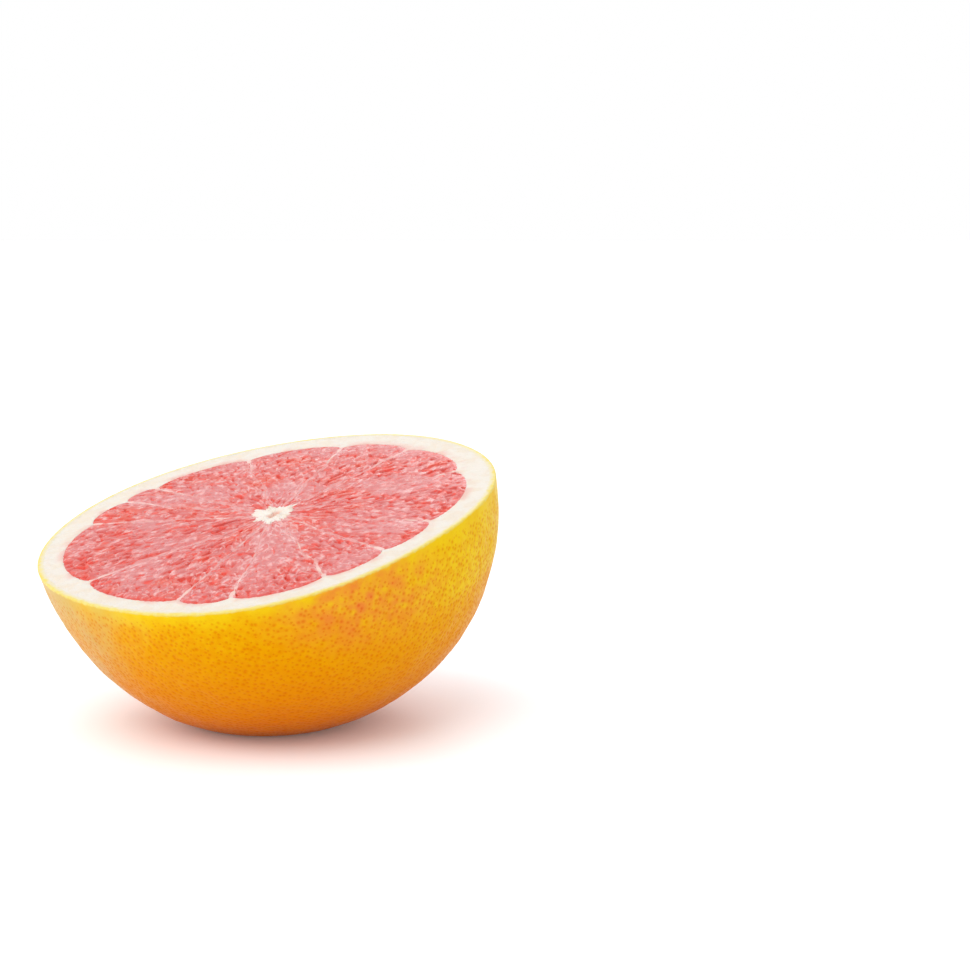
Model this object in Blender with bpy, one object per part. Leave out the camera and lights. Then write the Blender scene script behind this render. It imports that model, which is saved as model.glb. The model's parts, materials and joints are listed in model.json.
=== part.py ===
"""Half a pink grapefruit, cut across its segments, lying on its peel with the cut face tipped forward.

The fruit is drawn in its own frame first: the axis of the fruit is Z, the knife cut is the plane z = 0 and the
dome of peel hangs below it. Every point is then swelled to the fruit's slightly uneven outline, tipped to the way
the half lies, and pressed flat where the peel meets the table. Metres, +Z up. The origin is the middle of the
flat spot that the half rests on.
"""

import math
import random

import bmesh
import bpy
from mathutils import Matrix, Vector

MM = 0.001

# Driving sizes of the fruit
RIM_RADIUS = 52.0 * MM
DOME_DEPTH = 48.0 * MM
CUT_BELOW_WAIST = 5.9 * MM
ROUNDNESS = 2.22
ZEST = 1.4 * MM
PEEL = 6.1 * MM
PEEL_UNEVEN = 0.15
PEEL_THINNEST_AT = math.radians(235.0)
GAP = 0.3 * MM

# Uneven outline of the fruit: lobes round the axis, size as a share of the radius, and where each one is fullest
SWELL = ((1, 0.038, 165.0), (3, 0.020, 27.0), (4, 0.010, 0.5), (5, 0.005, 56.0))

# The way the half lies
LEAN = math.radians(16.2)
LEAN_TOWARDS = math.radians(232.6)
TURN = math.radians(2.4)
SINK = 2.2 * MM
SOFT_EDGE = 0.4 * MM

# Segments of pulp, in degrees round the axis from the first membrane, and the white parts between them
FIRST_MEMBRANE = 9.6
SEGMENT_SPANS = (33, 26, 32, 31, 11, 17, 48, 38, 15, 25, 20, 22, 42)
MEMBRANE = 0.7 * MM
CORE_RADIUS = 5.0 * MM
NARROWEST_TIP = 1.0 * MM
SHOULDER = 3.0 * MM
SHOULDER_POWER = 2.4
CORE_HOLLOW_RADIUS = 1.7 * MM
CORE_HOLLOW_DEPTH = 3.5 * MM

# Juice sacs raised on the cut face of each segment
SAC_HEIGHT = 0.35 * MM
SAC_LENGTH = 11.0 * MM

# Fineness of the meshes
ROUND_STEPS = 64
DOME_STEPS = 14
DEGREES_PER_COLUMN = 3.6
TOP_STEPS = 12
SIDE_STEPS = 8
INNER_STEPS = 2
CUTTER_RISE = 3.0 * MM

ZEST_COLOUR = (0.91, 0.38, 0.012, 1.0)
PITH_COLOUR = (0.93, 0.84, 0.70, 1.0)
PULP_COLOUR = (0.78, 0.11, 0.09, 1.0)


def clear_scene():
    """Empties the scene, so that the file holds the fruit alone."""
    for thing in list(bpy.data.objects):
        bpy.data.objects.remove(thing, do_unlink=True)


def finish(name, colour, roughness):
    """A plain Principled material."""
    material = bpy.data.materials.new(name)
    material.use_nodes = True
    shader = material.node_tree.nodes["Principled BSDF"]
    shader.inputs["Base Color"].default_value = colour
    shader.inputs["Roughness"].default_value = roughness
    shader.inputs["Metallic"].default_value = 0.0
    return material


def waist_radius():
    """Radius of the whole fruit at its waist, which the cut just misses."""
    rise = CUT_BELOW_WAIST / (DOME_DEPTH + CUT_BELOW_WAIST)
    return RIM_RADIUS / (1.0 - rise**ROUNDNESS) ** (1.0 / ROUNDNESS)


def layer_arc(depth, inner_radius, steps):
    """Points (radius, height) down a layer that lies this deep under the skin, from the cut to inner_radius."""
    wide = waist_radius() - depth
    tall = DOME_DEPTH + CUT_BELOW_WAIST - depth
    start = math.asin((CUT_BELOW_WAIST / tall) ** (ROUNDNESS / 2.0))
    end = math.acos((inner_radius / wide) ** (ROUNDNESS / 2.0))
    points = []
    for step in range(steps + 1):
        angle = start + (end - start) * step / steps
        radius = wide * math.cos(angle) ** (2.0 / ROUNDNESS)
        height = CUT_BELOW_WAIST - tall * math.sin(angle) ** (2.0 / ROUNDNESS)
        points.append((radius, height))
    points[0] = (points[0][0], 0.0)
    points[-1] = (inner_radius, points[-1][1])
    return points


def swell(point):
    """The fruit's uneven outline: each lobe is strongest at the cut and fades out towards the bottom of the dome."""
    azimuth = math.atan2(point.y, point.x)
    share = sum(size * math.cos(lobes * (azimuth - math.radians(fullest))) for lobes, size, fullest in SWELL)
    fade = 1.0 + min(point.z, 0.0) / DOME_DEPTH
    grow = 1.0 + share * fade
    return Vector((point.x * grow, point.y * grow, point.z))


def tip():
    """Turns the fruit about its axis, then tips the cut face towards LEAN_TOWARDS."""
    hinge = Vector((-math.sin(LEAN_TOWARDS), math.cos(LEAN_TOWARDS), 0.0))
    return Matrix.Rotation(LEAN, 3, hinge) @ Matrix.Rotation(TURN, 3, "Z")


def lowest_point():
    """The lowest point of the tipped dome, before it is pressed flat."""
    turned = tip()
    lowest = Vector((0.0, 0.0, 0.0))
    for radius, height in layer_arc(0.0, 0.0, 240):
        for degree in range(0, 360, 2):
            azimuth = math.radians(degree)
            point = turned @ swell(Vector((radius * math.cos(azimuth), radius * math.sin(azimuth), height)))
            if point.z < lowest.z:
                lowest = point
    return lowest


def press(height, floor):
    """Height of a point once the peel is pressed on the table: nothing is left under floor, with a soft edge."""
    above = height - floor
    if above >= SOFT_EDGE:
        return height
    if above <= -SOFT_EDGE:
        return floor
    return floor + (above + SOFT_EDGE) ** 2 / (4.0 * SOFT_EDGE)


def place(point, depth, turned, lowest):
    """A point of the fruit's own frame, at this depth under the skin, where the half lies on the table."""
    moved = turned @ swell(point) - lowest
    moved.z = press(moved.z - SINK, depth)
    return moved


def new_object(name, mesh_maker, material):
    """An object with the mesh that mesh_maker fills in, faces outwards."""
    bm = bmesh.new()
    mesh_maker(bm)
    bmesh.ops.recalc_face_normals(bm, faces=bm.faces)
    mesh = bpy.data.meshes.new(name)
    bm.to_mesh(mesh)
    bm.free()
    mesh.materials.append(material)
    mesh.shade_smooth()
    mesh.set_sharp_from_angle(angle=math.radians(40.0))
    thing = bpy.data.objects.new(name, mesh)
    bpy.context.scene.collection.objects.link(thing)
    return thing


def revolve(bm, profile, placing):
    """Turns a profile of (radius, height, depth) points once round the axis and puts it in its place."""
    depth_of = bm.verts.layers.float.new("depth")
    verts = []
    for radius, height, depth in profile:
        vert = bm.verts.new((radius, 0.0, height))
        vert[depth_of] = depth
        verts.append(vert)
    edges = [bm.edges.new(pair) for pair in zip(verts, verts[1:])]
    bmesh.ops.spin(
        bm,
        geom=verts + edges,
        cent=(0.0, 0.0, 0.0),
        axis=(0.0, 0.0, 1.0),
        angle=2.0 * math.pi,
        steps=ROUND_STEPS,
        use_merge=True,
    )
    bmesh.ops.remove_doubles(bm, verts=bm.verts, dist=0.0001 * MM)
    for vert in bm.verts:
        vert.co = place(vert.co, vert[depth_of], *placing)


def close_holes(bm):
    """One flat face over each open edge loop."""
    rims = [edge for edge in bm.edges if edge.is_boundary]
    bmesh.ops.holes_fill(bm, edges=rims, sides=0)


def build_zest(placing, material):
    """The thin coloured skin: the whole outside of the half, and a narrow ring on the cut."""

    def make(bm):
        outside = [(radius, height, 0.0) for radius, height in layer_arc(0.0, 0.0, DOME_STEPS)]
        inside = [(radius, height, ZEST) for radius, height in layer_arc(ZEST, 0.0, DOME_STEPS)]
        revolve(bm, outside[::-1] + inside, placing)

    return new_object("zest", make, material)


def boundaries():
    """The azimuth of each membrane, in order round the axis, with the first one again at the end."""
    angles = [math.radians(FIRST_MEMBRANE)]
    for span in SEGMENT_SPANS:
        angles.append(angles[-1] + math.radians(span))
    return angles


def tip_radius(span):
    """How near the axis a segment comes: a narrow one ends sooner, where the white core takes its place."""
    return max(CORE_RADIUS, (NARROWEST_TIP + MEMBRANE + 2.0 * GAP) / span)


def peel_at(azimuth):
    """Thickness of the whole peel, zest and pith: the core lies a little off the middle, so one side is thinner."""
    return PEEL * (1.0 - PEEL_UNEVEN * math.cos(azimuth - PEEL_THINNEST_AT))


def shoulder(across):
    """How far a segment's outer side draws in from the peel, from none at its middle to SHOULDER at its corners."""
    return SHOULDER * (1.0 - (1.0 - abs(across) ** SHOULDER_POWER) ** (1.0 / SHOULDER_POWER))


def sac_relief(radius, column, phase):
    """Height of the juice sacs over the cut: long bumps along the radius, staggered from column to column."""
    return SAC_HEIGHT * math.sin(2.0 * math.pi * radius / SAC_LENGTH + math.pi * column + phase)


def segment_slice(across, column, depth, inner, grow, phase):
    """One slice (radius, height) through a segment. A cutter is grown by the gap and stands out of the cut."""
    side = layer_arc(depth, inner, SIDE_STEPS)
    outer = side[0][0]
    if grow:
        top = [(inner, CUTTER_RISE), (outer, CUTTER_RISE)]
    else:
        top = []
        for step in range(TOP_STEPS):
            radius = inner + (outer - inner) * step / TOP_STEPS
            raised = sac_relief(radius, column, phase) if step and abs(across) < 1.0 else 0.0
            top.append((radius, raised))
    bottom = side[-1][1]
    rise = [(inner, bottom * (1.0 - step / INNER_STEPS)) for step in range(1, INNER_STEPS)]
    return top + side + rise


def fill_segment(bm, start, span, grow, phase, placing):
    """A segment as a row of slices from one membrane to the next, joined by quads and closed at both ends."""
    columns = max(4, round(math.degrees(span) / DEGREES_PER_COLUMN))
    wall = MEMBRANE / 2.0 + GAP - grow
    inner = tip_radius(span) - grow
    middle = start + span / 2.0
    loops = []
    for column in range(columns + 1):
        across = math.sin(math.pi / 2.0 * (2.0 * column / columns - 1.0))
        depth = peel_at(middle + across * span / 2.0) + shoulder(across) + GAP - grow
        loop = []
        for radius, height in segment_slice(across, column, depth, inner, grow, phase):
            azimuth = middle + across * (span / 2.0 - math.asin(wall / radius))
            point = Vector((radius * math.cos(azimuth), radius * math.sin(azimuth), height))
            loop.append(bm.verts.new(place(point, depth, *placing)))
        loops.append(loop)
    for near, far in zip(loops, loops[1:]):
        for index in range(len(near)):
            bm.faces.new((near[index - 1], near[index], far[index], far[index - 1]))
    bm.faces.new(loops[0])
    bm.faces.new(loops[-1][::-1])


def build_segments(placing, material):
    """Every segment of pulp, each a wedge of its own."""
    rng = random.Random(4)
    edges = boundaries()
    segments = []
    for number, (start, end) in enumerate(zip(edges, edges[1:]), 1):
        phase = rng.uniform(0.0, 2.0 * math.pi)

        def make(bm, start=start, end=end, phase=phase):
            fill_segment(bm, start, end - start, 0.0, phase, placing)

        segments.append(new_object(f"segment_{number:02d}", make, material))
    return segments


def hollow_core(bm, placing):
    """The small open pit in the middle of the core, as a cone with its point down."""
    bmesh.ops.create_cone(
        bm,
        cap_ends=True,
        segments=10,
        radius1=0.3 * CORE_HOLLOW_RADIUS,
        radius2=CORE_HOLLOW_RADIUS,
        depth=2.0 * CORE_HOLLOW_DEPTH,
    )
    for vert in bm.verts:
        vert.co = place(vert.co, 0.0, *placing)


def build_pith(placing, material):
    """The white layer under the zest, in one piece with the membranes and the core, hollowed for the segments."""

    def make(bm):
        depth = ZEST + GAP
        outside = [(radius, height, depth) for radius, height in layer_arc(depth, 0.0, DOME_STEPS)]
        revolve(bm, outside, placing)
        close_holes(bm)

    pith = new_object("pith", make, material)
    cutters = bpy.data.collections.new("pith_cutters")
    bpy.context.scene.collection.children.link(cutters)
    edges = boundaries()
    makers = [lambda bm: hollow_core(bm, placing)]
    for start, end in zip(edges, edges[1:]):
        makers.append(lambda bm, start=start, end=end: fill_segment(bm, start, end - start, GAP, 0.0, placing))
    for number, maker in enumerate(makers):
        cutter = new_object(f"pith_cutter_{number:02d}", maker, material)
        bpy.context.scene.collection.objects.unlink(cutter)
        cutters.objects.link(cutter)
        cutter.hide_render = True
        cutter.display_type = "WIRE"
    hollow = pith.modifiers.new("room_for_segments", "BOOLEAN")
    hollow.operation = "DIFFERENCE"
    hollow.operand_type = "COLLECTION"
    hollow.collection = cutters
    return pith


def main():
    """Builds the half from the outside in."""
    clear_scene()
    placing = (tip(), lowest_point())
    build_zest(placing, finish("zest", ZEST_COLOUR, 0.42))
    build_pith(placing, finish("pith", PITH_COLOUR, 0.7))
    build_segments(placing, finish("pulp", PULP_COLOUR, 0.28))


main()
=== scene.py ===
"""Dresses half a pink grapefruit: pored zest, spongy pith, thin membranes and wet pulp on the cut.

Every form is worked out in the fruit's own frame first: the axis of the fruit is Z, the knife cut is
z = 0 and the dome of peel hangs below it. FruitForm.place then swells each point to the fruit's uneven
outline, tips it to the way the half lies and presses it flat where it rests, with the sizes of the
part's source. Metres, +Z up.
"""

from __future__ import annotations

import json
import logging
import math
from collections.abc import Callable, Sequence
from dataclasses import dataclass, field
from enum import Enum
from functools import cached_property
from typing import Any, ClassVar

import bpy
import numpy as np
from mathutils import Matrix, Vector, kdtree

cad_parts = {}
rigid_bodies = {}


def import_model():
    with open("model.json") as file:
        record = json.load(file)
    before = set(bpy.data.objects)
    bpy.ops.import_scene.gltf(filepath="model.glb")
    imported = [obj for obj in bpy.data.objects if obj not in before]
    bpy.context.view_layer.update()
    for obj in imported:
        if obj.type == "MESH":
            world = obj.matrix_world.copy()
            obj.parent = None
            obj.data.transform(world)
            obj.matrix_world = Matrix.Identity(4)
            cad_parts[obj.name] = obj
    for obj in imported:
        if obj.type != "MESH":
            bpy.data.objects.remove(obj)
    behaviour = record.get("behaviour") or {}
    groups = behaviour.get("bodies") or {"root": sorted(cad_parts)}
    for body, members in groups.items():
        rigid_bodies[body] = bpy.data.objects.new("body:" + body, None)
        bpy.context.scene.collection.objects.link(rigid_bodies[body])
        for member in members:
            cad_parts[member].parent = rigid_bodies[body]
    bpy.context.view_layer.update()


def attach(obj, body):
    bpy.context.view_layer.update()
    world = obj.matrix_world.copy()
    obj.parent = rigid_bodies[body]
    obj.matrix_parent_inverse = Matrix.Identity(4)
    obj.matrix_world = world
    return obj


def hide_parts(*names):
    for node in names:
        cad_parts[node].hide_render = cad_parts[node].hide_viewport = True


LOG = logging.getLogger("grapefruit")
MM = 0.001
BODY = "root"
Span = tuple[float, float]
Step = tuple[float, float, float, float]
Colour = tuple[float, float, float, float]
Array = np.ndarray
Material = bpy.types.Material
Node = bpy.types.Node
Socket = bpy.types.NodeSocket


class Slot(Enum):
    """The record's material slots."""

    ZEST = "zest"
    PITH = "pith"
    PULP = "pulp"


def smooth(low: float, high: float, value: Array) -> Array:
    """A soft step.

    Args:
        low: Value at which the step is 0.
        high: Value at which the step is 1.
        value: Numbers to step.

    Returns:
        0 to 1 for each number.
    """
    share = np.clip((value - low) / (high - low), 0.0, 1.0)
    return share * share * (3.0 - 2.0 * share)


@dataclass(frozen=True)
class Ripple:
    """Seeded, smooth unevenness round the axis, from -1 to 1, the same at 0 and 360 degrees."""

    seed: int
    fewest: int
    most: int
    waves: int = 14

    def at(self, azimuth: Array) -> Array:
        """The unevenness at each azimuth.

        Args:
            azimuth: Radians round the axis.

        Returns:
            A number from -1 to 1 for each.
        """
        rng = np.random.default_rng(self.seed)
        total = np.zeros_like(azimuth)
        for count in rng.integers(self.fewest, self.most, self.waves):
            total = total + np.cos(count * azimuth + rng.uniform(0.0, 2.0 * math.pi))
        return np.clip(total / math.sqrt(2.0 * self.waves), -1.0, 1.0)


@dataclass(frozen=True)
class FruitForm:
    """The rounded form of the half, and the way it lies on the table.

    A row of the swells is a count of waves round the axis, their height as a share of the radius, and
    the azimuth in degrees where one of them is fullest.
    """

    rim_radius: float = 52.0 * MM
    dome_depth: float = 48.0 * MM
    cut_below_waist: float = 5.9 * MM
    roundness: float = 2.22
    peel: float = 6.1 * MM
    peel_uneven: float = 0.15
    peel_thinnest_at: float = math.radians(235.0)
    swells: tuple[tuple[int, float, float], ...] = (
        (1, 0.038, 165.0),
        (3, 0.020, 27.0),
        (4, 0.010, 0.5),
        (5, 0.005, 56.0),
    )
    lean: float = math.radians(16.2)
    lean_towards: float = math.radians(232.6)
    turn: float = math.radians(2.4)
    sink: float = 2.2 * MM
    soft_edge: float = 0.4 * MM

    @cached_property
    def waist(self) -> float:
        """Radius of the whole fruit at its waist, which the cut just misses."""
        rise = self.cut_below_waist / (self.dome_depth + self.cut_below_waist)
        return self.rim_radius / (1.0 - rise**self.roundness) ** (1.0 / self.roundness)

    def layer(self, depth: Any, share: Any, inner: float = 0.0) -> tuple[Array, Array]:
        """Points down a layer of the fruit.

        Args:
            depth: How deep the layer lies under the skin.
            share: 0 at the cut, 1 at the end near the axis.
            inner: Radius at which the layer ends.

        Returns:
            Radius and height of each point.
        """
        power = self.roundness / 2.0
        wide = self.waist - depth
        tall = self.dome_depth + self.cut_below_waist - depth
        start = np.arcsin((self.cut_below_waist / tall) ** power)
        end = np.arccos((inner / wide) ** power)
        angle = start + (end - start) * share
        radius = wide * np.maximum(np.cos(angle), 0.0) ** (1.0 / power)
        height = self.cut_below_waist - tall * np.sin(angle) ** (1.0 / power)
        return radius, height

    def floor_of(self, depth: Any, radius: Array) -> Array:
        """Height of the layer at this depth, over a given radius.

        Args:
            depth: How deep the layer lies under the skin.
            radius: Distance from the axis.

        Returns:
            Height of the layer there, under the cut.
        """
        wide = self.waist - depth
        tall = self.dome_depth + self.cut_below_waist - depth
        inside = np.maximum(1.0 - np.minimum(radius / wide, 1.0) ** self.roundness, 0.0)
        return np.minimum(self.cut_below_waist - tall * inside ** (1.0 / self.roundness), 0.0)

    def peel_at(self, azimuth: Array) -> Array:
        """Thickness of the whole peel, thinnest on one side because the core lies off the middle."""
        return self.peel * (1.0 - self.peel_uneven * np.cos(azimuth - self.peel_thinnest_at))

    def swell(self, points: Array) -> Array:
        """Swells points to the uneven outline, which fades out towards the bottom of the dome.

        Args:
            points: Rows of x, y, z in the fruit's frame.

        Returns:
            The swelled rows.
        """
        azimuth = np.arctan2(points[:, 1], points[:, 0])
        waves = [size * np.cos(count * (azimuth - math.radians(full))) for count, size, full in self.swells]
        grow = 1.0 + sum(waves) * (1.0 + np.minimum(points[:, 2], 0.0) / self.dome_depth)
        return points * np.stack([grow, grow, np.ones_like(grow)], axis=1)

    @cached_property
    def tip(self) -> Array:
        """The turn of the fruit about its axis, then the lean of its cut face, as a matrix."""
        hinge = Vector((-math.sin(self.lean_towards), math.cos(self.lean_towards), 0.0))
        return np.array(Matrix.Rotation(self.lean, 3, hinge) @ Matrix.Rotation(self.turn, 3, "Z"))

    @cached_property
    def lowest(self) -> Array:
        """The lowest point of the tipped dome, before it is pressed flat.

        Returns:
            Its x, y, z.
        """
        radius, height = self.layer(0.0, np.linspace(0.0, 1.0, 241))
        azimuth = np.radians(np.arange(0, 360, 2))[:, None]
        ring = [radius * np.cos(azimuth), radius * np.sin(azimuth), height + 0.0 * azimuth]
        points = self.swell(np.stack(ring, axis=-1).reshape(-1, 3)) @ self.tip.T
        return points[np.argmin(points[:, 2])]

    def place(self, points: Array, depth: Any) -> Array:
        """Puts points of the fruit's frame where the half lies on the table.

        Args:
            points: Rows of x, y, z in the fruit's frame.
            depth: How deep under the skin each point lies.

        Returns:
            Rows of x, y, z in the part's frame.
        """
        moved = self.swell(points) @ self.tip.T - self.lowest
        above = moved[:, 2] - self.sink - depth
        soft = (above + self.soft_edge) ** 2 / (4.0 * self.soft_edge)
        pressed = np.where(above <= -self.soft_edge, 0.0, soft)
        moved[:, 2] = depth + np.where(above >= self.soft_edge, above, pressed)
        return moved

    @cached_property
    def cut_normal(self) -> Array:
        """Direction out of the cut face."""
        return self.tip[:, 2]

    @cached_property
    def cut_height(self) -> float:
        """Distance of the cut plane from the origin, along its normal."""
        return float(self.place(np.zeros((1, 3)), 0.0)[0] @ self.cut_normal)


@dataclass(frozen=True)
class SegmentPlan:
    """How the cut face is divided: the membranes round the axis and the lobed outline of the pulp.

    A membrane wavers fully only between the ends of its two straight stretches.
    """

    form: FruitForm = FruitForm()
    first_membrane: float = 9.6
    spans: tuple[int, ...] = (33, 26, 32, 31, 11, 17, 48, 38, 15, 25, 20, 22, 42)
    shoulder: float = 3.0 * MM
    shoulder_power: float = 2.4
    core_radius: float = 3.2 * MM
    narrowest_tip: float = 0.35 * MM
    wall: float = 0.12 * MM
    waver: float = 0.55 * MM
    waver_length: float = 25.0 * MM
    first_waver_seed: int = 40
    straight_at_core: Span = (4.0 * MM, 12.0 * MM)
    straight_at_peel: Span = (42.0 * MM, 34.0 * MM)

    @cached_property
    def edges(self) -> Array:
        """Azimuth of each membrane, in order, with the first one again at the end."""
        return np.radians(self.first_membrane + np.concatenate([[0], np.cumsum(self.spans)]))

    def across(self, azimuth: Array) -> Array:
        """Place across a segment.

        Args:
            azimuth: Radians round the axis, any turn.

        Returns:
            -1 at the membrane before, 0 at the segment's middle, 1 at the membrane after.
        """
        turned = self.edges[0] + np.mod(azimuth - self.edges[0], 2.0 * math.pi)
        at = np.clip(np.searchsorted(self.edges, turned, side="right") - 1, 0, len(self.spans) - 1)
        start, end = self.edges[at], self.edges[at + 1]
        return np.clip(2.0 * (turned - start) / (end - start) - 1.0, -1.0, 1.0)

    def drawn_in(self, across: Array) -> Array:
        """How far the pulp's outer side draws in from the peel: most at its corners."""
        power = self.shoulder_power
        return self.shoulder * (1.0 - (1.0 - np.abs(across) ** power) ** (1.0 / power))

    def pulp_depth(self, azimuth: Array) -> Array:
        """Depth of the pulp's outer side under the skin, at each azimuth."""
        return self.form.peel_at(azimuth) + self.drawn_in(self.across(azimuth))

    def bend(self, number: int, radius: Array) -> Array:
        """How far a membrane wavers to the side of its straight line.

        Args:
            number: Which membrane.
            radius: Distance from the axis.

        Returns:
            Distance to the side, none at the core and at the peel.
        """
        seed = self.first_waver_seed + number
        wave = Ripple(seed, fewest=2, most=13, waves=8).at(radius / self.waver_length)
        bent = self.waver * wave * smooth(*self.straight_at_core, radius)
        return bent * smooth(*self.straight_at_peel, radius)

    def tip_radius(self, number: int) -> float:
        """How near the axis segment `number` comes: a narrow one ends sooner."""
        span = math.radians(self.spans[number])
        return max(self.core_radius, (self.narrowest_tip + 2.0 * self.wall) / span)


class Workpiece:
    """A mesh on the bench: begun as a primitive, shaped in edit mode and by its points, then finished."""

    def __init__(self, name: str) -> None:
        """Takes the object that an operator has just added, and names it.

        Args:
            name: Name of the piece.
        """
        self.thing: bpy.types.Object = bpy.context.active_object
        self.thing.name = name
        self.thing.data.name = name

    @staticmethod
    def clear_choice() -> None:
        """Deselects every object, because an operator acts on all that is selected."""
        for thing in bpy.context.view_layer.objects.selected[:]:
            thing.select_set(False)

    @classmethod
    def grid(cls, name: str, columns: int, rows: int) -> Workpiece:
        """A flat blank from (0, 0) to (1, 1), selected alone.

        Args:
            name: Name of the piece.
            columns: Faces along x.
            rows: Faces along y.

        Returns:
            The blank.
        """
        cls.clear_choice()
        bpy.ops.mesh.primitive_grid_add(x_subdivisions=columns, y_subdivisions=rows, size=1.0)
        piece = cls(name)
        piece.move_to(piece.points() + np.array([0.5, 0.5, 0.0]))
        return piece

    @classmethod
    def ball(cls, name: str, subdivisions: int) -> Workpiece:
        """A unit ball of even triangles, selected alone.

        Args:
            name: Name of the piece.
            subdivisions: How finely it is divided.

        Returns:
            The ball.
        """
        cls.clear_choice()
        bpy.ops.mesh.primitive_ico_sphere_add(subdivisions=subdivisions, radius=1.0)
        return cls(name)

    def choose(self, *others: Workpiece) -> None:
        """Selects this piece and makes it the active one.

        Args:
            others: Pieces to select with it.
        """
        self.clear_choice()
        for piece in (self, *others):
            piece.thing.select_set(True)
        bpy.context.view_layer.objects.active = self.thing

    @staticmethod
    def rows_of(items: Any, key: str) -> Array:
        """What a mesh's points or faces keep under one key.

        Args:
            items: The points or the faces.
            key: Blender's name for what they keep.

        Returns:
            Rows of x, y, z.
        """
        found = np.zeros(len(items) * 3)
        items.foreach_get(key, found)
        return found.reshape(-1, 3)

    def points(self) -> Array:
        """Where the mesh's points are."""
        return self.rows_of(self.thing.data.vertices, "co")

    def normals(self) -> Array:
        """The direction that the mesh faces at each of its points."""
        return self.rows_of(self.thing.data.vertices, "normal")

    def face_centres(self) -> Array:
        """The middle of each face."""
        return self.rows_of(self.thing.data.polygons, "center")

    def move_to(self, points: Array) -> None:
        """Moves every point of the mesh to its row of `points`."""
        self.thing.data.vertices.foreach_set("co", points.astype(np.float32).ravel())
        self.thing.data.update()

    def edit(self, *steps: tuple[Callable[..., Any], dict[str, Any]]) -> None:
        """Runs operators in edit mode, one after the other.

        Args:
            steps: Each operator with its settings.
        """
        bpy.context.view_layer.objects.active = self.thing
        bpy.ops.object.mode_set(mode="EDIT")
        for operator, settings in steps:
            operator(**settings)
        bpy.ops.object.mode_set(mode="OBJECT")

    def draw_out_border(self, levels: int, rise: float) -> None:
        """Extrudes the open border along z, level after level.

        Args:
            levels: How many rings of faces are added.
            rise: Height of each.
        """
        pull = {"TRANSFORM_OT_translate": {"value": (0.0, 0.0, rise)}}
        border_alone = {"use_wire": False, "use_multi_face": False, "use_non_contiguous": False}
        start = [
            (bpy.ops.mesh.select_mode, {"type": "EDGE"}),
            (bpy.ops.mesh.select_all, {"action": "DESELECT"}),
            (bpy.ops.mesh.select_non_manifold, border_alone),
        ]
        self.edit(*start, *[(bpy.ops.mesh.extrude_region_move, pull)] * levels)

    def modify(self, kind: str, **settings: Any) -> None:
        """Adds a modifier and applies it.

        Args:
            kind: Blender's name for the kind of modifier.
            settings: Its settings.
        """
        modifier = self.thing.modifiers.new(kind.lower(), kind)
        for key, value in settings.items():
            setattr(modifier, key, value)
        self.choose()
        bpy.ops.object.modifier_apply(modifier=modifier.name)

    def roughen(self, weights: Array, swellings: Sequence[Span]) -> None:
        """Raises cloudy unevenness, one layer after the other.

        Args:
            weights: For each point, how far the unevenness shows there, from 0 to 1.
            swellings: For each layer, the distance from one swelling to the next and the height.
        """
        group = self.thing.vertex_groups.new(name="roughened")
        rounded = np.round(weights, 1)
        for weight in np.unique(rounded[rounded > 0.0]):
            group.add(np.flatnonzero(rounded == weight).tolist(), float(weight), "REPLACE")
        for size, height in swellings:
            clouds = bpy.data.textures.new(f"{self.thing.name}_clouds", "CLOUDS")
            clouds.noise_scale = size
            clouds.noise_depth = 2
            settings = {"texture": clouds, "texture_coords": "LOCAL", "mid_level": 0.5}
            self.modify("DISPLACE", **settings, strength=height, vertex_group=group.name)

    def note(self, name: str, values: Array, domain: str = "POINT") -> None:
        """Keeps a number or a vector for each point or face, for the finish to read.

        Args:
            name: Name of the attribute.
            values: One row for each point or face.
            domain: POINT or FACE.
        """
        kind, key = ("FLOAT_VECTOR", "vector") if values.ndim == 2 else ("FLOAT", "value")
        attribute = self.thing.data.attributes.new(name, kind, domain)
        attribute.data.foreach_set(key, values.astype(np.float32).ravel())

    def close(self) -> None:
        """Merges what meets at seams and poles, and turns every face outwards."""
        self.edit(
            (bpy.ops.mesh.select_mode, {"type": "VERT"}),
            (bpy.ops.mesh.select_all, {"action": "SELECT"}),
            (bpy.ops.mesh.remove_doubles, {"threshold": 0.001 * MM}),
            (bpy.ops.mesh.normals_make_consistent, {"inside": False}),
        )

    def finish(self, material: Material, slot: Slot, *replaced: str, crisp: float = 50.0) -> None:
        """Shades the piece, dresses it and hands it to the frame.

        Args:
            material: The finish it wears.
            slot: The record's slot for that finish; not used.
            replaced: CAD nodes that it stands for.
            crisp: Edges that turn by more degrees than this stay crisp.
        """
        self.choose()
        bpy.ops.object.shade_smooth_by_angle(angle=math.radians(crisp))
        self.thing.data.materials.clear()
        self.thing.data.materials.append(material)
        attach(self.thing, BODY)
        if replaced:
            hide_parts(*replaced)
        triangles = sum(len(face.vertices) - 2 for face in self.thing.data.polygons)
        nodes = ", ".join(replaced) or "no node"
        LOG.info("%s: %d triangles, stands for %s", self.thing.name, triangles, nodes)


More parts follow.
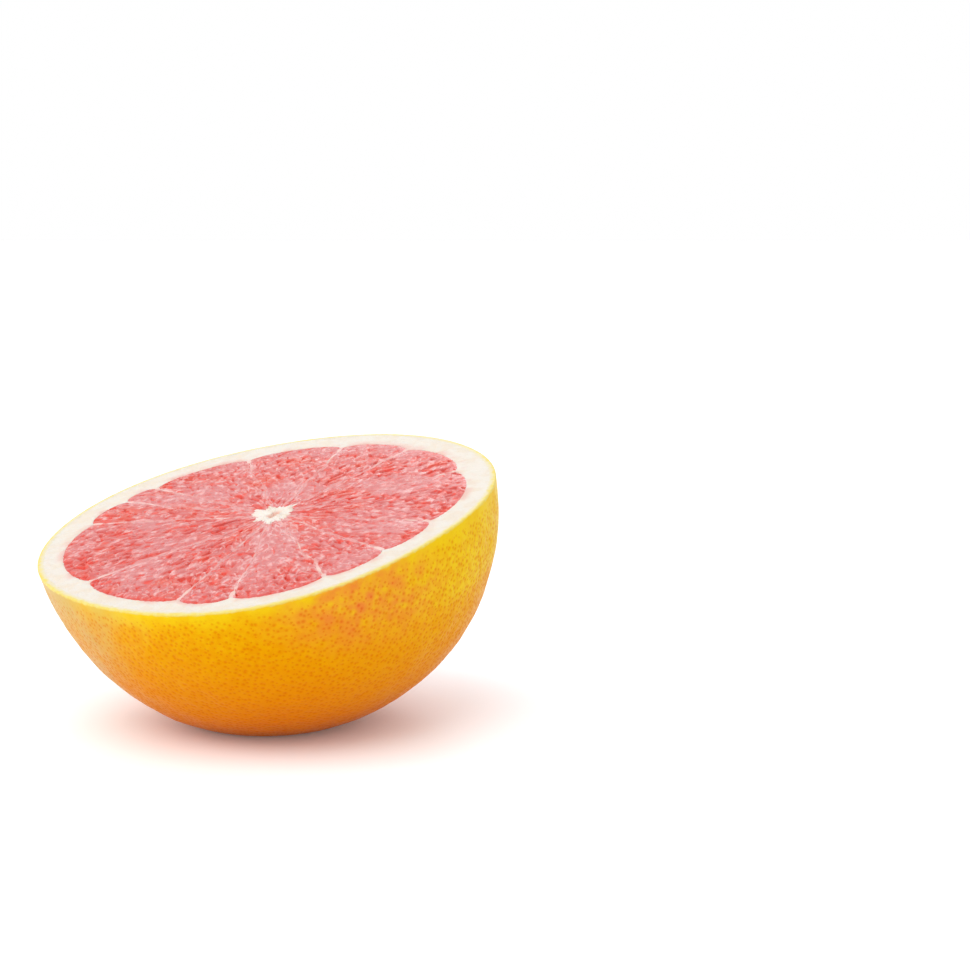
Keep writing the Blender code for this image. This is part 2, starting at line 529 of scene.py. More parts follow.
class Graph:
    """The nodes of one material, group or world."""

    def __init__(self, tree: bpy.types.NodeTree) -> None:
        """Starts from an empty tree."""
        self.tree = tree
        tree.nodes.clear()

    def add(self, kind: str, inputs: dict[Any, Any] | None = None, **settings: Any) -> Node:
        """Adds a node.

        Args:
            kind: Blender's name for the kind of node.
            inputs: For each input, a number or colour to set or a socket to join to it.
            settings: The node's own settings.

        Returns:
            The node.
        """
        node = self.tree.nodes.new(kind)
        for key, value in settings.items():
            setattr(node, key, value)
        for key, value in (inputs or {}).items():
            if isinstance(value, Socket):
                self.tree.links.new(value, node.inputs[key])
            else:
                node.inputs[key].default_value = value
        return node

    def number(self, operation: str, *values: Any, clamp: bool = False) -> Socket:
        """A Math node on numbers or sockets, and its result."""
        node = self.add("ShaderNodeMath", dict(enumerate(values)), operation=operation, use_clamp=clamp)
        return node.outputs[0]

    def times(self, value: Any, by: Any) -> Socket:
        """The product of two numbers or sockets."""
        return self.number("MULTIPLY", value, by)

    def vector(self, operation: str, *values: Any) -> Socket:
        """A Vector Math node on places or sockets, and its result."""
        node = self.add("ShaderNodeVectorMath", dict(enumerate(values)), operation=operation)
        return node.outputs["Value" if operation in ("LENGTH", "DOT_PRODUCT") else "Vector"]

    def step(self, value: Any, low: Any, high: Any, start: float = 0.0, end: float = 1.0) -> Socket:
        """A soft step.

        Args:
            value: Socket to read.
            low: Value at which the step starts.
            high: Value at which it ends.
            start: Result at low.
            end: Result at high.

        Returns:
            The stepped value.
        """
        inputs = {"Value": value, "From Min": low, "From Max": high, "To Min": start, "To Max": end}
        return self.add("ShaderNodeMapRange", inputs, interpolation_type="SMOOTHSTEP").outputs[0]

    def blend(self, share: Any, low: Any, high: Any) -> Socket:
        """Blends two colours.

        Args:
            share: 0 for the first, 1 for the second.
            low: First colour or socket.
            high: Second colour or socket.

        Returns:
            The blended colour.
        """
        factor, first, second, result = 0, 6, 7, 2
        node = self.add("ShaderNodeMix", {factor: share, first: low, second: high}, data_type="RGBA")
        return node.outputs[result]

    def coats(self, colour: Any, *coats: tuple[Socket, Any]) -> Socket:
        """Lays colours over a first one.

        Args:
            colour: First colour or socket.
            coats: Each further colour, after the mask that says where it covers the ones before.

        Returns:
            The resulting colour.
        """
        for mask, over in coats:
            colour = self.blend(mask, colour, over)
        return colour

    def ramp(self, value: Any, stops: Sequence[tuple[float, Colour]]) -> Socket:
        """Colours that follow a value.

        Args:
            value: Socket to read.
            stops: Places from 0 to 1 with their colours.

        Returns:
            The colour.
        """
        node = self.add("ShaderNodeValToRGB", {"Fac": value})
        elements = node.color_ramp.elements
        while len(elements) < len(stops):
            elements.new(1.0)
        for element, (place, colour) in zip(elements, stops):
            element.position = place
            element.color = colour
        return node.outputs[0]

    def uneven(self, size: float) -> Socket:
        """Soft cloudy values about 0, with patches of this size."""
        clouds = self.add("ShaderNodeTexNoise", {"Vector": self.here, "Scale": 1.0 / size})
        return self.number("SUBTRACT", clouds.outputs[0], 0.5)

    def noted(self, name: str, as_vector: bool = False) -> Socket:
        """The value that a piece keeps for each of its points under this name."""
        node = self.add("ShaderNodeAttribute", attribute_name=name)
        return node.outputs["Vector" if as_vector else "Fac"]

    @cached_property
    def here(self) -> Socket:
        """The place on the piece, in metres."""
        return self.add("ShaderNodeTexCoord").outputs["Object"]


@dataclass(frozen=True)
class SharedEffect:
    """An effect that more than one finish uses, as a node group that is built once."""

    name: str
    output: str
    build: Callable[[Graph, Any], Socket]
    inputs: tuple[tuple[str, float], ...] = ()

    def tree(self) -> bpy.types.NodeTree:
        """The group's nodes, built on first use.

        Returns:
            The node group.
        """
        found = bpy.data.node_groups.get(self.name)
        if found:
            return found
        made = bpy.data.node_groups.new(self.name, "ShaderNodeTree")
        made.interface.new_socket(name="Place", in_out="INPUT", socket_type="NodeSocketVector")
        for name, usual in self.inputs:
            socket = made.interface.new_socket(name=name, in_out="INPUT", socket_type="NodeSocketFloat")
            socket.default_value = usual
        made.interface.new_socket(name=self.output, in_out="OUTPUT", socket_type="NodeSocketFloat")
        graph = Graph(made)
        given = graph.add("NodeGroupInput").outputs
        graph.add("NodeGroupOutput", {0: self.build(graph, given)})
        return made

    def put(self, graph: Graph, **values: float) -> Socket:
        """Places the effect in a finish, with values for the group's inputs, and gives its output."""
        inputs = {"Place": graph.here, **values}
        return graph.add("ShaderNodeGroup", inputs, node_tree=self.tree()).outputs[0]


def depth_nodes(graph: Graph, given: Any) -> Socket:
    """Nodes of the depth below the cut.

    Args:
        graph: The group's nodes.
        given: The group's inputs.

    Returns:
        Depth in millimetres.
    """
    form = FruitForm()
    along = graph.vector("DOT_PRODUCT", given["Place"], tuple(form.cut_normal))
    return graph.times(graph.number("SUBTRACT", form.cut_height, along), 1.0 / MM)


def patch_nodes(graph: Graph, given: Any) -> Socket:
    """Nodes of uneven patches.

    Args:
        graph: The group's nodes.
        given: The group's inputs.

    Returns:
        Cloudy values, sharpened to a mask from 0 to 1.
    """
    scale = graph.number("DIVIDE", 1.0, given["Size"])
    inputs = {"Vector": given["Place"], "Scale": scale, "Detail": given["Detail"]}
    noise = graph.add("ShaderNodeTexNoise", inputs)
    return graph.step(noise.outputs[0], given["From"], given["To"])


def sponge_nodes(graph: Graph, given: Any) -> Socket:
    """Nodes of a fine spongy or pulpy surface.

    Args:
        graph: The group's nodes.
        given: The group's inputs.

    Returns:
        Small cells with soft walls under finer noise, as a height from about 0 to 1.
    """
    place, scale = given["Place"], graph.number("DIVIDE", 1.0, given["Size"])
    finer = graph.times(scale, 2.3)
    cells = graph.add("ShaderNodeTexVoronoi", {"Vector": place, "Scale": scale}, feature="SMOOTH_F1")
    noise = graph.add("ShaderNodeTexNoise", {"Vector": place, "Scale": finer, "Detail": 3.0})
    return graph.number("ADD", graph.times(cells.outputs["Distance"], 0.6), noise.outputs[0])


PATCH_INPUTS = (("Size", 5.0 * MM), ("From", 0.4), ("To", 0.6), ("Detail", 4.0))
BELOW_CUT = SharedEffect("depth_below_cut", "Depth", depth_nodes)
PATCHES = SharedEffect("uneven_patches", "Mask", patch_nodes, PATCH_INPUTS)
SPONGE = SharedEffect("fine_sponge", "Height", sponge_nodes, (("Size", 1.0 * MM),))


def new_material(name: str, shader: dict[str, Any]) -> tuple[Material, Graph, Node]:
    """A material with one Principled shader.

    Args:
        name: Name of the finish.
        shader: Values that are the same all over, set on the shader's own sockets.

    Returns:
        The material, its nodes and the shader.
    """
    material = bpy.data.materials.new(name)
    material.use_nodes = True
    graph = Graph(material.node_tree)
    principled = graph.add("ShaderNodeBsdfPrincipled", shader)
    graph.add("ShaderNodeOutputMaterial", {"Surface": principled.outputs[0]})
    return material, graph, principled


def dress(graph: Graph, principled: Node, colour: Any, roughness: Any, height: Any, relief: float) -> None:
    """Joins the varying colour, roughness and relief to the shader.

    Args:
        graph: The finish's nodes.
        principled: The shader.
        colour: Colour socket.
        roughness: Roughness socket.
        height: Height socket, 0 to 1.
        relief: Height in metres that 1 stands for.
    """
    bump = graph.add("ShaderNodeBump", {"Strength": 1.0, "Distance": relief, "Height": height})
    for key, value in (("Base Color", colour), ("Roughness", roughness), ("Normal", bump.outputs[0])):
        graph.tree.links.new(value, principled.inputs[key])


@dataclass(frozen=True)
class ZestFinish:
    """The skin: yellow under the cut that turns orange and then redder and darker at the bottom, partly
    painted light and shade, a red blush on one side, a painted sheen on the left flank, darker pores.

    A row of four numbers is a soft step: where it starts and ends, and what it gives there. Depths below
    the cut are in millimetres and places in metres.
    """

    cut_pale: Colour = (0.64, 0.585, 0.44, 1.0)
    cut_ring: Colour = (0.66, 0.57, 0.19, 1.0)
    ring_gland: Colour = (0.68, 0.50, 0.07, 1.0)
    # Painted light and shade in part: the band to bottom colours make the skin lighter just under the cut
    # and darker and redder towards the bottom.
    band: Colour = (0.74, 0.50, 0.006, 1.0)
    under_band: Colour = (0.72, 0.38, 0.002, 1.0)
    side: Colour = (0.70, 0.315, 0.0, 1.0)
    bottom: Colour = (0.66, 0.168, 0.0, 1.0)
    patch: Colour = (0.67, 0.22, 0.0, 1.0)
    blush: Colour = (0.71, 0.17, 0.034, 1.0)
    # Painted sheen: a pale veil on the left flank that stands in for the white light reflected there.
    painted_sheen: Colour = (0.54, 0.36, 0.125, 1.0)
    pore: Colour = (0.60, 0.13, 0.0, 1.0)
    blush_pore: Colour = (0.60, 0.045, 0.001, 1.0)
    scar: Colour = (0.26, 0.15, 0.05, 1.0)
    deepest: float = 40.0
    wander_size: float = 9.0 * MM
    wander: float = 6.5
    # Painted light in part: the yellow band reaches lower on the right, so that flank is lighter.
    lower_at_right: Step = (0.005, 0.048, 0.0, 14.0)
    patched: float = 0.20
    mottled: Step = (1.5, 6.0, 0.0, 0.33)
    pored: Step = (6.0, 32.0, 0.54, 0.80)
    # Where the painted sheen lies: towards the left, stronger towards the front, with a wandering edge.
    painted_sheen_to_left: Step = (-0.018, -0.048, 0.0, 0.88)
    painted_sheen_to_front: Step = (0.035, -0.010, 0.35, 1.0)
    painted_sheen_wander: float = 3.4 * MM
    blush_at: tuple[float, float, float] = (0.026, -0.040, 0.035)
    blush_reach: tuple[float, float, float] = (0.020, 0.020, 0.010)
    relief: float = 0.09 * MM

    def material(self) -> Material:
        """Builds the material.

        Returns:
            The finished material.
        """
        shader = {
            "Metallic": 0.0,
            "IOR": 1.42,
            "Specular IOR Level": 0.04,
            "Specular Tint": (1.0, 0.45, 0.0, 1.0),
            "Sheen Weight": 0.05,
            "Sheen Roughness": 0.30,
        }
        material, graph, principled = new_material("zest_skin", shader)
        depth = BELOW_CUT.put(graph)
        patches = PATCHES.put(graph, Size=4.5 * MM, From=0.42, To=0.68)
        pores = self.pore_mask(graph, depth)
        uneven = graph.uneven(1.6 * MM)
        on_cut = graph.step(graph.number("MULTIPLY_ADD", uneven, 0.9, depth), 0.6, 0.0)
        colour = graph.coats(
            self.skin_colour(graph, depth, patches, pores),
            (on_cut, self.ring_colour(graph, uneven)),
            (graph.noted("scar"), self.scar),
        )
        fine = graph.times(SPONGE.put(graph, Size=0.8 * MM), 0.25)
        height = graph.number("MULTIPLY_ADD", pores, -0.5, fine)
        waxy = graph.step(patches, 0.0, 1.0, 0.36, 0.46)
        roughness = graph.number("ADD", graph.times(pores, 0.2), waxy)
        dress(graph, principled, colour, roughness, height, self.relief)
        return material

    def skin_colour(self, graph: Graph, depth: Socket, patches: Socket, pores: Socket) -> Socket:
        """Yellow under the cut to redder orange below, partly painted light and shade, mottled, with the
        blush, a painted sheen on the left flank and the pores.

        Args:
            graph: The finish's nodes.
            depth: Depth below the cut in millimetres.
            patches: Mask of the larger mottling.
            pores: Mask of the pores.

        Returns:
            The colour.
        """
        apart = graph.add("ShaderNodeSeparateXYZ", {0: graph.here}).outputs
        wander = graph.times(graph.uneven(self.wander_size), self.wander)
        # Partly painted light: the band is lowered on the right, lightening that flank.
        right = graph.step(apart["X"], *self.lower_at_right)
        lowered = graph.number("SUBTRACT", graph.number("ADD", depth, wander), right)
        share = graph.number("DIVIDE", lowered, self.deepest, clamp=True)
        # Partly painted light and shade: lighter yellow under the cut, a darker, redder orange at the
        # bottom.
        stops = ((0.02, self.band), (0.10, self.under_band), (0.26, self.side), (0.85, self.bottom))
        mottle = PATCHES.put(graph, Size=1.3 * MM, From=0.40, To=0.62, Detail=0.5)
        blushed = self.blush_mask(graph)
        sideways = graph.number("MULTIPLY_ADD", wander, self.painted_sheen_wander, apart["X"])
        front = graph.step(apart["Y"], *self.painted_sheen_to_front)
        return graph.coats(
            graph.ramp(share, stops),
            (graph.times(patches, self.patched), self.patch),
            (graph.times(mottle, graph.step(depth, *self.mottled)), self.patch),
            (blushed, self.blush),
            # Painted sheen: pale colour on the left flank, strongest at the front.
            (graph.times(graph.step(sideways, *self.painted_sheen_to_left), front), self.painted_sheen),
            (
                graph.times(pores, graph.step(depth, *self.pored)),
                graph.blend(blushed, self.pore, self.blush_pore),
            ),
        )

    def ring_colour(self, graph: Graph, uneven: Socket) -> Socket:
        """The coloured ring on the cut, with its oil glands, paler towards the pith.

        Args:
            graph: The finish's nodes.
            uneven: Cloudy values about 0.

        Returns:
            The colour.
        """
        glands = PATCHES.put(graph, Size=1.1 * MM, From=0.40, To=0.60)
        inward = graph.number("MULTIPLY_ADD", uneven, 1.2, graph.noted("inward"))
        return graph.coats(
            self.cut_ring,
            (graph.times(glands, 0.6), self.ring_gland),
            (graph.step(inward, 0.1, 0.9), self.cut_pale),
        )

    def blush_mask(self, graph: Graph) -> Socket:
        """The red blush, strongest under the rim at one side, broken up by patches.

        Args:
            graph: The finish's nodes.

        Returns:
            A mask from 0 to 1.
        """
        off = graph.vector("SUBTRACT", graph.here, self.blush_at)
        far = graph.vector("LENGTH", graph.vector("DIVIDE", off, self.blush_reach))
        broken = PATCHES.put(graph, Size=3.5 * MM, From=0.15, To=0.75)
        return graph.times(graph.step(far, 1.5, 0.1), broken)

    def pore_mask(self, graph: Graph, depth: Socket) -> Socket:
        """The pores, which the band under the cut has none of.

        Args:
            graph: The finish's nodes.
            depth: Depth below the cut in millimetres.

        Returns:
            A mask from 0 to 1.
        """
        off = graph.vector("SUBTRACT", graph.here, graph.noted("pore_at", as_vector=True))
        far = graph.times(graph.vector("LENGTH", off), 1.0 / MM)
        radii = graph.number("DIVIDE", far, graph.noted("pore_size"))
        return graph.times(graph.step(radii, 1.5, 0.0), graph.step(depth, 0.8, 3.0))


@dataclass(frozen=True)
class PithFinish:
    """Matt white pith, mottled beige, for the ring, the membranes and the core."""

    name: str = "pith_sponge"
    clean: Colour = (0.645, 0.598, 0.535, 1.0)
    beige: Colour = (0.635, 0.545, 0.44, 1.0)
    mottled: float = 0.65
    stain: Colour = (0.63, 0.36, 0.31, 1.0)
    stained: float = 0.75
    relief: float = 0.12 * MM
    glow: float = 0.2
    juicy: Span = (0.40, 0.62)

    def material(self) -> Material:
        """Builds the material.

        Returns:
            The finished material.
        """
        shader = {
            "Metallic": 0.0,
            "IOR": 1.36,
            "Subsurface Weight": self.glow,
            "Subsurface Radius": (1.0, 0.7, 0.45),
            "Subsurface Scale": 1.2 * MM,
        }
        material, graph, principled = new_material(self.name, shader)
        mottle = PATCHES.put(graph, Size=3.2 * MM, From=0.42, To=0.66)
        juice = PATCHES.put(graph, Size=6.0 * MM, From=self.juicy[0], To=self.juicy[1])
        near = graph.times(graph.noted("near_pulp"), self.stained)
        colour = graph.coats(
            self.clean,
            (graph.times(mottle, self.mottled), self.beige),
            (graph.times(near, juice), self.stain),
        )
        height = SPONGE.put(graph, Size=0.9 * MM)
        dress(graph, principled, colour, graph.step(mottle, 0.0, 1.0, 0.55, 0.7), height, self.relief)
        return material


@dataclass(frozen=True)
class PulpFinish:
    """Wet red pulp: each juice sac has its own tone, the skins between the sacs are paler, and hollows and
    pits are a deeper red; the skins and hollows are partly painted light and shade.
    """

    # Painted shade and light in part: a deeper red for hollows, pits and the edge by the peel, its red
    # lifted against their shade.
    deep_red_and_shade: Colour = (0.63, 0.040, 0.020, 1.0)
    coral: Colour = (0.60, 0.060, 0.024, 1.0)
    red: Colour = (0.555, 0.052, 0.037, 1.0)
    pink: Colour = (0.525, 0.108, 0.102, 1.0)
    pale: Colour = (0.525, 0.150, 0.150, 1.0)
    # Painted light in part: the pale sac skins are lightened to offset the shade in the creases.
    skin: Colour = (0.69, 0.380, 0.370, 1.0)
    ripened: Step = (0.9, 0.3, 0.0, 0.8)
    specked: Step = (0.9, 0.1, 0.3, 1.0)
    calmed: float = 0.65
    skinned: float = 0.85
    relief: float = 0.06 * MM

    def material(self) -> Material:
        """Builds the material.

        Returns:
            The finished material.
        """
        shader = {
            "Metallic": 0.0,
            "IOR": 1.40,
            "Subsurface Weight": 0.5,
            "Subsurface Radius": (1.0, 0.35, 0.25),
            "Subsurface Scale": 0.9 * MM,
        }
        material, graph, principled = new_material("juicy_pulp", shader)
        calm = graph.noted("calm")
        mottle = PATCHES.put(graph, Size=3.2 * MM, From=0.36, To=0.64, Detail=1.2)
        tone = graph.number("ADD", graph.times(graph.noted("tone"), 0.6), graph.times(mottle, 0.6))
        ripe = PATCHES.put(graph, Size=8.0 * MM, From=0.46, To=0.66, Detail=2.0)
        streaks = PATCHES.put(graph, Size=2.2 * MM, From=0.32, To=0.54, Detail=1.0)
        skins = graph.times(graph.noted("crease"), streaks)
        dots = PATCHES.put(graph, Size=2.0 * MM, From=0.57, To=0.67, Detail=1.0)
        specks = graph.times(dots, graph.step(calm, *self.specked))
        colour = graph.coats(
            self.red,
            (graph.step(tone, 0.1, 1.0), self.pink),
            (graph.times(ripe, graph.step(calm, *self.ripened)), self.coral),
            (graph.times(calm, self.calmed), self.pale),
            # Partly painted shade: hollows and the edge by the peel get the deeper red.
            (graph.noted("deep_red_and_shade"), self.deep_red_and_shade),
            # Pale sac skins in the creases and along the membranes, partly painted light against their
            # shade.
            (graph.times(skins, self.skinned), self.skin),
            # Partly painted shade: the shallow speck pits get the deeper red.
            (graph.times(specks, 0.9), self.deep_red_and_shade),
        )
        height = graph.number("MULTIPLY_ADD", specks, -0.8, SPONGE.put(graph, Size=0.7 * MM))
        dress(graph, principled, colour, graph.step(mottle, 0.0, 1.0, 0.20, 0.34), height, self.relief)
        return material


def nearest_of(places: Array, points: Array) -> Array:
    """Which of some places is nearest to each point.

    Args:
        places: Rows of x, y, z.
        points: Rows of x, y, z.

    Returns:
        The number of the nearest place, for each point.
    """
    tree = kdtree.KDTree(len(places))
    for number, place in enumerate(places):
        tree.insert(place, number)
    tree.balance()
    return np.array([tree.find(point)[1] for point in points])


def polar(radius: Array, azimuth: Array, height: Array) -> Array:
    """Rows of x, y, z from radius, azimuth and height."""
    return np.stack([radius * np.cos(azimuth), radius * np.sin(azimuth), height + 0.0 * radius], axis=1)


@dataclass
class Zest:
    """The coloured skin: a thin bowl with thousands of pores and a rounded lip at the cut.

    A row of the lip is how far in from the rim and how high over the cut it is, in millimetres. A row of
    the swellings is the distance from one to the next and their height.
    """

    form: FruitForm = field(default_factory=FruitForm)
    thickness: float = 1.45 * MM
    raggedness: float = 0.22 * MM
    ragged: Ripple = Ripple(seed=11, fewest=90, most=240, waves=24)
    subdivisions: int = 8
    pores: int = 11000
    pore_seed: int = 5
    pore_drift: Span = (0.0034, 0.0055)
    pore_radius: float = 0.37 * MM
    pore_sizes: Span = (0.55, 1.25)
    pore_depth: float = 0.08 * MM
    bare_band: Span = (0.8 * MM, 2.8 * MM)
    lip: tuple[Span, ...] = ((0.05, -0.12), (0.16, -0.03), (0.34, 0.0), (0.85, 0.02))
    lip_drop: float = 0.28 * MM
    lip_height: float = 0.35 * MM
    inner_levels: int = 8
    scar_hollow: Span = (3.4 * MM, 1.2 * MM)
    scar_depth: float = 0.8 * MM
    scar_stain: Span = (2.4 * MM, 1.4 * MM)
    scar_tone: float = 0.85
    swellings: tuple[Span, ...] = ((9.0 * MM, 0.50 * MM), (2.6 * MM, 0.10 * MM))
    calm_at_table: Span = (0.2 * MM, 3.0 * MM)
    calm_at_cut: Span = (0.0, 4.0 * MM)

    def thickness_at(self, azimuth: Array) -> Array:
        """Width of the coloured ring on the cut, a little ragged where the oil glands end."""
        return self.thickness + self.raggedness * self.ragged.at(azimuth)

    def pore_centres(self) -> tuple[Array, Array]:
        """Seeded, uneven spacing of the pores over the dome.

        Returns:
            The centres, as rows of x, y, z in the fruit's frame, and each pore's radius.
        """
        rng = np.random.default_rng(self.pore_seed)
        order = np.arange(self.pores) + 0.5
        down, around = self.pore_drift
        share = np.arcsin(order / self.pores) / (math.pi / 2.0) + rng.normal(0.0, down, self.pores)
        azimuth = order * math.pi * (3.0 - math.sqrt(5.0)) + rng.normal(0.0, around, self.pores)
        radius, height = self.form.layer(0.0, np.clip(share, 0.0, 1.0))
        return polar(radius, azimuth, height), self.pore_radius * rng.uniform(*self.pore_sizes, self.pores)

    def shape(self, flat: Array) -> tuple[Array, Array, Array]:
        """Where each point of the opened ball goes.

        Args:
            flat: Points of the half ball and of its border, drawn out one level for each unit of z.

        Returns:
            Points in the fruit's frame, their depth under the skin, and whether they are on the outside.
        """
        azimuth = np.arctan2(flat[:, 1], flat[:, 0])
        level = np.round(np.maximum(flat[:, 2], 0.0)).astype(int)
        radius, height = self.form.layer(0.0, np.arcsin(np.clip(-flat[:, 2], 0.0, 1.0)) / (math.pi / 2.0))
        outside = level == 0
        height = np.where(outside, height - self.lip_drop * smooth(self.lip_height, 0.0, -height), height)
        depth = np.zeros_like(radius)
        for number, (inwards, rise) in enumerate(self.lip, 1):
            at = level == number
            radius[at] = self.form.rim_radius - inwards * MM
            height[at] = rise * MM
            depth[at] = inwards * MM
        first = len(self.lip) + 1
        thick = self.thickness_at(azimuth)
        for number in range(self.inner_levels):
            at = level == first + number
            radius[at], height[at] = self.form.layer(thick[at], number / (self.inner_levels - 1))
            depth[at] = thick[at]
        return polar(radius, azimuth, height), depth, outside

    def sunk_by(self, points: Array, centres: Array, radii: Array) -> Array:
        """How far the pores press the skin in.

        Args:
            points: Points of the skin in the fruit's frame.
            centres: Centres of the pores.
            radii: Their radii.

        Returns:
            The depth at each point, none in the bare band under the cut.
        """
        nearest = nearest_of(centres, points)
        far = np.linalg.norm(points - centres[nearest], axis=1) / radii[nearest]
        return self.pore_depth * np.exp(-(far**2)) * smooth(*self.bare_band, -points[:, 2])

    @staticmethod
    def mark_pores(piece: Workpiece, centres: Array, radii: Array, skin: Array) -> None:
        """Keeps for each face where its nearest pore is on the finished skin, and how wide that pore is.

        Args:
            piece: The finished skin.
            centres: Pore centres on the smooth skin, where the half lies.
            radii: Radius of each pore.
            skin: Points of the smooth skin, where the half lies.
        """
        under = nearest_of(skin, centres)
        lifted = centres + piece.points()[under] - skin[under]
        nearest = nearest_of(lifted, piece.face_centres())
        piece.note("pore_at", lifted[nearest], "FACE")
        piece.note("pore_size", radii[nearest] / MM, "FACE")

    def build(self, material: Material) -> None:
        """Makes the skin and dresses it.

        Args:
            material: Its finish.
        """
        piece = Workpiece.ball("zest_skin", self.subdivisions)
        piece.edit(
            (bpy.ops.mesh.select_all, {"action": "SELECT"}),
            (bpy.ops.mesh.bisect, {"plane_co": (0, 0, 0), "plane_no": (0, 0, 1), "clear_outer": True}),
        )
        flat = piece.points()
        flat[flat[:, 2] > -1e-4, 2] = 0.0
        piece.move_to(flat)
        piece.draw_out_border(len(self.lip) + self.inner_levels, 1.0)
        points, depth, outside = self.shape(piece.points())
        piece.move_to(points)
        smooth_skin = self.form.place(points, depth)
        centres, radii = self.pore_centres()
        press = self.sunk_by(points, centres, radii) * outside
        points = points - piece.normals() * press[:, None]
        from_axis = np.hypot(points[:, 0], points[:, 1])
        points[:, 2] += self.scar_depth * (smooth(*self.scar_hollow, from_axis) * outside)
        piece.note("scar", self.scar_tone * smooth(*self.scar_stain, from_axis) * outside)
        piece.note("inward", depth / self.thickness)
        piece.move_to(self.form.place(points, depth))
        calm = smooth(*self.calm_at_table, piece.points()[:, 2]) * smooth(*self.calm_at_cut, -points[:, 2])
        piece.roughen(calm * outside, self.swellings)
        self.mark_pores(piece, self.form.place(centres, 0.0), radii, smooth_skin)
        piece.close()
        piece.finish(material, Slot.ZEST, "zest")


@dataclass
class Pith:
    """The white spongy bowl, whose inner edge on the cut follows the lobes of the pulp.

    A row of the swellings is the distance from one to the next and their height.
    """

    plan: SegmentPlan = field(default_factory=SegmentPlan)
    zest: Zest = field(default_factory=Zest)
    columns: int = 1080
    inner_rows: int = 9
    ring_rows: int = 18
    outer_rows: int = 9
    bevel: float = 0.25 * MM
    overlap: float = 0.14 * MM
    ragged: Ripple = Ripple(seed=17, fewest=60, most=260, waves=30)
    raggedness: float = 0.12 * MM
    swellings: tuple[Span, ...] = ((3.5 * MM, 0.30 * MM), (1.0 * MM, 0.14 * MM))

    @property
    def rows(self) -> int:
        """Rows of the blank, from the inside of the bowl over the ring to the outside."""
        return self.inner_rows + self.ring_rows + self.outer_rows

    def shape(self, flat: Array) -> tuple[Array, Array, Array]:
        """Wraps the blank: up the inside of the bowl, over the ring on the cut and down the outside.

        Args:
            flat: Points of the blank, x round the axis and y along the profile.

        Returns:
            Points in the fruit's frame, their depth under the skin, and how far over the ring they are.
        """
        azimuth = flat[:, 0] * 2.0 * math.pi
        row = flat[:, 1] * self.rows
        outer = self.zest.thickness_at(azimuth) - self.overlap
        inner = self.plan.pulp_depth(azimuth) + self.overlap + self.raggedness * self.ragged.at(azimuth)
        over = np.clip((row - self.inner_rows) / self.ring_rows, 0.0, 1.0)
        depth = inner + (outer - inner) * over
        down = np.maximum(self.inner_rows - row, row - self.inner_rows - self.ring_rows)
        share = np.clip(down / np.where(over < 0.5, self.inner_rows, self.outer_rows), 0.0, 1.0)
        radius, height = self.plan.form.layer(depth, share)
        edge = over * (inner - outer)
        height = height - 0.35 * self.bevel * smooth(self.bevel, 0.0, edge) * (share <= 0.0)
        return polar(radius, azimuth, height), depth, np.where(share > 0.0, -1.0, over)

    def build(self, material: Material) -> None:
        """Makes the bowl of pith and dresses it.

        Args:
            material: Its finish.
        """
        piece = Workpiece.grid("pith_bowl", self.columns, self.rows)
        points, depth, over = self.shape(piece.points())
        piece.move_to(self.plan.form.place(points, depth))
        piece.note("near_pulp", np.where(over >= 0.0, smooth(0.55, 0.0, over), 1.0))
        piece.roughen((over >= 0.0) * smooth(0.0, 0.12, over) * smooth(1.0, 0.9, over), self.swellings)
        piece.close()
        piece.finish(material, Slot.PITH, "pith")


